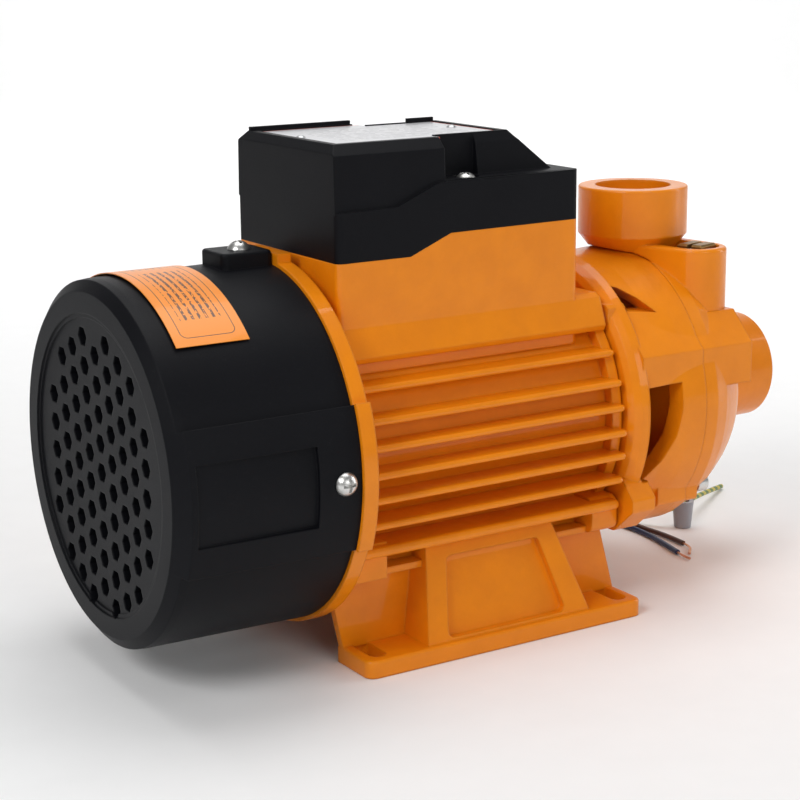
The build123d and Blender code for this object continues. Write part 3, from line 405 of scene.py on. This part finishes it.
def plate_print(start):
    split = start.node("ShaderNodeSeparateXYZ", {}, {0: place_of(start)}, out="X")
    along = split - plate_low.x
    across = Wire(start.tree, split.socket.node.outputs["Y"]) - plate_low.y
    length = plate_high.x - plate_low.x
    depth = plate_high.y - plate_low.y
    edge = start.math("MAXIMUM", abs(along - length / 2) > length / 2 - PLATE_BAND,
                      abs(across - depth / 2) > depth / 2 - PLATE_BAND)
    words = noise(start, 480.0, 1.0, 0.4) > 0.46
    rows = ((across % PLATE_PITCH) < PLATE_BAR) * words
    rows = rows * (abs(along - length / 2) < length / 2 - PLATE_MARGIN)
    print_area = rows * (abs(across - depth / 2) < depth / 2 - PLATE_MARGIN)
    brushed = noise(start, 900.0, 2.0, 0.5, start.node(
        "ShaderNodeMapping", {}, {"Vector": place_of(start), "Scale": (0.05, 1.0, 1.0)}))
    foil = blend_of(start, brushed, (0.66, 0.66, 0.67, 1), (0.52, 0.52, 0.54, 1))
    inked = blend_of(start, edge * 0.95, foil, (0.62, 0.070, 0.020, 1))
    return {
        "Base Color": blend_of(start, print_area * 0.55, inked, (0.20, 0.20, 0.21, 1)),
        "Metallic": 0.35,
        "Roughness": 0.26 + brushed * 0.12,
        "Normal": raised(start, brushed, 0.00003, 0.5),
    }


plate_foil = finish_of("plate_foil", plate_print)
print("nameplate", round(plate_high.x - plate_low.x, 4), "by", round(plate_high.y - plate_low.y, 4))

# %% [markdown]
# ## Which finish goes where
# The record names a material slot for each CAD node, so most nodes take their finish from that name. A few
# nodes share a slot but look different, and they are listed by name.

# %% Dress the CAD nodes
FINISH_OF_SLOT = {
    "orange_paint": orange_enamel, "black_plastic": black_plastic, "zinc_steel": zinc, "steel": steel,
    "lamination": stampings, "copper": winding_copper, "bare_copper": bright_copper,
    "aluminium": cast_aluminium, "plate_silver": plate_foil, "brass": turned_brass, "rubber": rubber,
    "orange_label": label_film, "white_plastic": white_moulding, "grey_plastic": grey_moulding,
    "ceramic": ceramic, "brown_wire": brown_pvc, "blue_wire": blue_pvc, "earth_wire": earth_pvc,
    "cord_jacket": cord_rubber,
}
FINISH_OF_NODE = {"sleeve_ring": red_moulding, "priming_plug": aged_brass, "nameplate_rivets": steel}
nodes = frame["nodes"]

for part in frame["record"]["subparts"]:
    node = nodes[part["node"]]
    node.data.materials.clear()
    node.data.materials.append(FINISH_OF_NODE.get(part["node"], FINISH_OF_SLOT[part["material_slot"]]))

# %% [markdown]
# ## Supply cord
# The cord is a fixed length of something soft. It leaves the gland on the far side, falls to the floor,
# runs along behind the pump head and splits into three cores with bare ends. Each stretch is one smooth
# NURBS curve whose control points are the corners of the CAD tube's route.

# %% Cord curves
MM = 0.001
CORD_DIAMETER = 0.007
CORE_DIAMETER = 0.0023
CORD_ROUTE = [(2, 59.0, 146), (2, 86, 146), (2, 110, 128), (3, 119, 86), (8, 121.5, 43),
              (24, 121, 10), (54, 114, 3.5), (84, 96, 3.5), (106, 74, 3.5), (118, 58, 3.5)]
EARTH_ROUTE = [(119.0, 58.75, 2.9), (122.0, 54.75, 2.9), (127.5, 48.0, 1.7), (133.2, 38.2, 3.4),
               (137.6, 30.2, 7.0), (146.9, 25.2, 10.6), (173.2, 43.4, 7.0), (203.8, 62.8, 1.3)]
BROWN_ROUTE = [(118.0, 58.0, 5.0), (121.0, 54.0, 5.0), (123.8, 47.0, 3.0), (127.0, 31.5, 1.25),
               (129.0, 16.0, 1.25), (127.9, 2.2, 1.25)]
BLUE_ROUTE = [(117.0, 57.25, 2.9), (120.0, 53.25, 2.9), (122.2, 45.0, 1.6), (123.6, 27.5, 1.25),
              (121.4, 10.0, 1.25), (117.3, -6.5, 1.25)]


def smooth_curve(name, route, diameter):
    """A round NURBS curve on the route's points."""
    data = bpy.data.curves.new(name, "CURVE")
    data.dimensions = "3D"
    data.bevel_depth = diameter / 2
    data.bevel_resolution = 5
    data.resolution_u = 16
    data.use_fill_caps = True
    spline = data.splines.new("NURBS")
    spline.points.add(len(route) - 1)
    for point, corner in zip(spline.points, route):
        point.co = (*[c * MM for c in corner], 1.0)
    spline.order_u = 3
    spline.use_endpoint_u = True
    made = bpy.data.objects.new(name, data)
    bpy.context.scene.collection.objects.link(made)
    return made


def centreline_of(curve):
    """Points along a curve's own line, in metres."""
    bare = curve.copy()
    bare.data = curve.data.copy()
    bare.data.bevel_depth = 0.0
    line = bpy.data.meshes.new_from_object(bare)
    points = [v.co.copy() for v in line.vertices]
    bpy.data.objects.remove(bare)
    return points


def length_of(points):
    return sum((b - a).length for a, b in zip(points, points[1:]))


def lay_cord(name, node, route, diameter, finish):
    """One stretch of cord in place of its CAD tube, with its real length printed."""
    curve = smooth_curve(name, route, diameter)
    curve.data.materials.append(finish)
    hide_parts(node)
    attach(curve, "frame")
    length = round(length_of(centreline_of(curve)), 4)
    print(name, "is", length, "m long")


lay_cord("cord_jacket", "power_cord", CORD_ROUTE, CORD_DIAMETER, cord_rubber)
lay_cord("earth_core", "core_earth", EARTH_ROUTE, CORE_DIAMETER, earth_pvc)

# %% [markdown]
# ## Bare strands
# The ends of the brown and the blue core are stripped. Each shows seven thin copper wires that twist
# about the core's line and fan out a little at their tips. They are made as a bundle of tubes swept along
# the route, which a curve with seven splines does well.

# %% Strands
BROWN_STRANDS = [(127.9, 2.2, 1.25), (127.5, -3.0, 1.25), (124.0, -7.0, 0.9), (121.2, -9.8, 0.75)]
BLUE_STRANDS = [(117.3, -6.5, 1.25), (116.2, -11.0, 1.0), (116.9, -15.4, 0.75)]
STRAND_COUNT = 7
STRAND_DIAMETER = 0.00036
LAY_RADIUS = 0.00048
TIGHT_SHARE = 0.75
FAN_OUT = 0.45
FLATTENING = 0.7


def bundle(name, node, route, twists):
    """Seven thin wires twisted about one route, the last of them along its middle."""
    guide = smooth_curve(name + "_guide", route, CORE_DIAMETER)
    line = centreline_of(guide)
    bpy.data.objects.remove(guide)
    data = bpy.data.curves.new(name, "CURVE")
    data.dimensions = "3D"
    data.bevel_depth = STRAND_DIAMETER / 2
    data.bevel_resolution = 2
    data.use_fill_caps = True
    for index in range(STRAND_COUNT):
        spline = data.splines.new("NURBS")
        spline.points.add(len(line) - 1)
        for step, centre in enumerate(line):
            share = step / (len(line) - 1)
            ahead = line[min(step + 1, len(line) - 1)] - line[max(step - 1, 0)]
            side = ahead.cross(Vector((0, 0, 1))).normalized()
            upward = side.cross(ahead).normalized()
            angle = 2 * math.pi * (index / (STRAND_COUNT - 1) + twists * share)
            in_middle = index == STRAND_COUNT - 1
            spread = 0.0 if in_middle else LAY_RADIUS * (TIGHT_SHARE + FAN_OUT * share)
            place = centre + side * spread * math.cos(angle)
            place = place + upward * spread * math.sin(angle) * FLATTENING
            spline.points[step].co = (*place, 1.0)
        spline.order_u = 3
        spline.use_endpoint_u = True
    made = bpy.data.objects.new(name, data)
    bpy.context.scene.collection.objects.link(made)
    data.materials.append(bright_copper)
    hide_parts(node)
    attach(made, "frame")
    print(name, STRAND_COUNT, "wires,", round(length_of(line), 4), "m")
    return made


brown_tips = bundle("brown_tips", "brown_strands", BROWN_STRANDS, 1.3)
blue_tips = bundle("blue_tips", "blue_strands", BLUE_STRANDS, 0.9)
lay_cord("brown_core", "core_brown", BROWN_ROUTE, CORE_DIAMETER, brown_pvc)
lay_cord("blue_core", "core_blue", BLUE_ROUTE, CORE_DIAMETER, blue_pvc)

# %% [markdown]
# ## Floor and studio light
# A plain pale floor runs up into a backdrop, as a paper roll does, so no horizon shows. Big soft panels
# light the pump: a key from the fan end, a fill from the front, a strip beyond the pump head that draws
# its edge, and a top light for the cover. One more panel faces the paper only, and keeps it white.


# %% Stage
def pale_paper(start):
    fibres = noise(start, 60.0, 2.0)
    return {"Base Color": blend_of(start, fibres, (0.90, 0.90, 0.90, 1), (0.93, 0.93, 0.93, 1)),
            "Roughness": 0.8}


FLOOR_HALF = 4.0
BACK_Y = 2.6
SWEEP = 0.9
SWEEP_STEPS = 12
PAPER_TOP = 5.0
FLOOR_GAP = 0.0002
PAPER_TURN = math.radians(-32.0)
profile = [(-FLOOR_HALF, 0.0)]
for step in range(SWEEP_STEPS + 1):
    bend = step * math.pi / 2 / SWEEP_STEPS
    profile.append((BACK_Y + SWEEP * math.sin(bend), SWEEP * (1 - math.cos(bend))))
profile.append((BACK_Y + SWEEP, PAPER_TOP))
paper = bpy.data.meshes.new("paper_sweep")
corners = [(x, y, z - FLOOR_GAP) for y, z in profile for x in (-FLOOR_HALF, FLOOR_HALF)]
faces = [(2 * i, 2 * i + 1, 2 * i + 3, 2 * i + 2) for i in range(len(profile) - 1)]
paper.from_pydata(corners, [], faces)
paper.polygons.foreach_set("use_smooth", [True] * len(paper.polygons))
paper.materials.append(finish_of("pale_paper", pale_paper))
sweep = bpy.data.objects.new("paper_sweep", paper)
sweep.rotation_euler = (0, 0, PAPER_TURN)
bpy.context.scene.collection.objects.link(sweep)


def soft_box(name, place, size, power, aim_at=(0.0, 0.0, 0.08)):
    """A rectangular area light that faces aim_at."""
    data = bpy.data.lights.new(name, "AREA")
    data.shape = "RECTANGLE"
    data.size, data.size_y = size
    data.energy = power
    made = bpy.data.objects.new(name, data)
    made.location = place
    made.rotation_mode = "QUATERNION"
    made.rotation_quaternion = (Vector(aim_at) - Vector(place)).to_track_quat("-Z", "Y")
    bpy.context.scene.collection.objects.link(made)


soft_box("key", (-1.2, -0.5, 1.0), (0.6, 0.6), 10.0)
soft_box("front_fill", (-0.1, -1.6, 0.75), (1.0, 0.7), 5.5)
soft_box("right_strip", (1.2, -0.4, 0.5), (0.3, 1.0), 4.0)
soft_box("backdrop_wash", (0.6, 1.0, 2.0), (2.4, 0.8), 62.0, aim_at=(1.8, 2.9, 0.7))
soft_box("overhead", (0.1, 0.2, 1.4), (1.1, 0.9), 9.0)

world = bpy.data.worlds.new("studio")
world.use_nodes = True
world.node_tree.nodes["Background"].inputs["Color"].default_value = (1.0, 1.0, 1.0, 1.0)
world.node_tree.nodes["Background"].inputs["Strength"].default_value = 0.20
bpy.context.scene.world = world
bpy.context.scene.view_settings.view_transform = "Standard"
print("stage is ready")
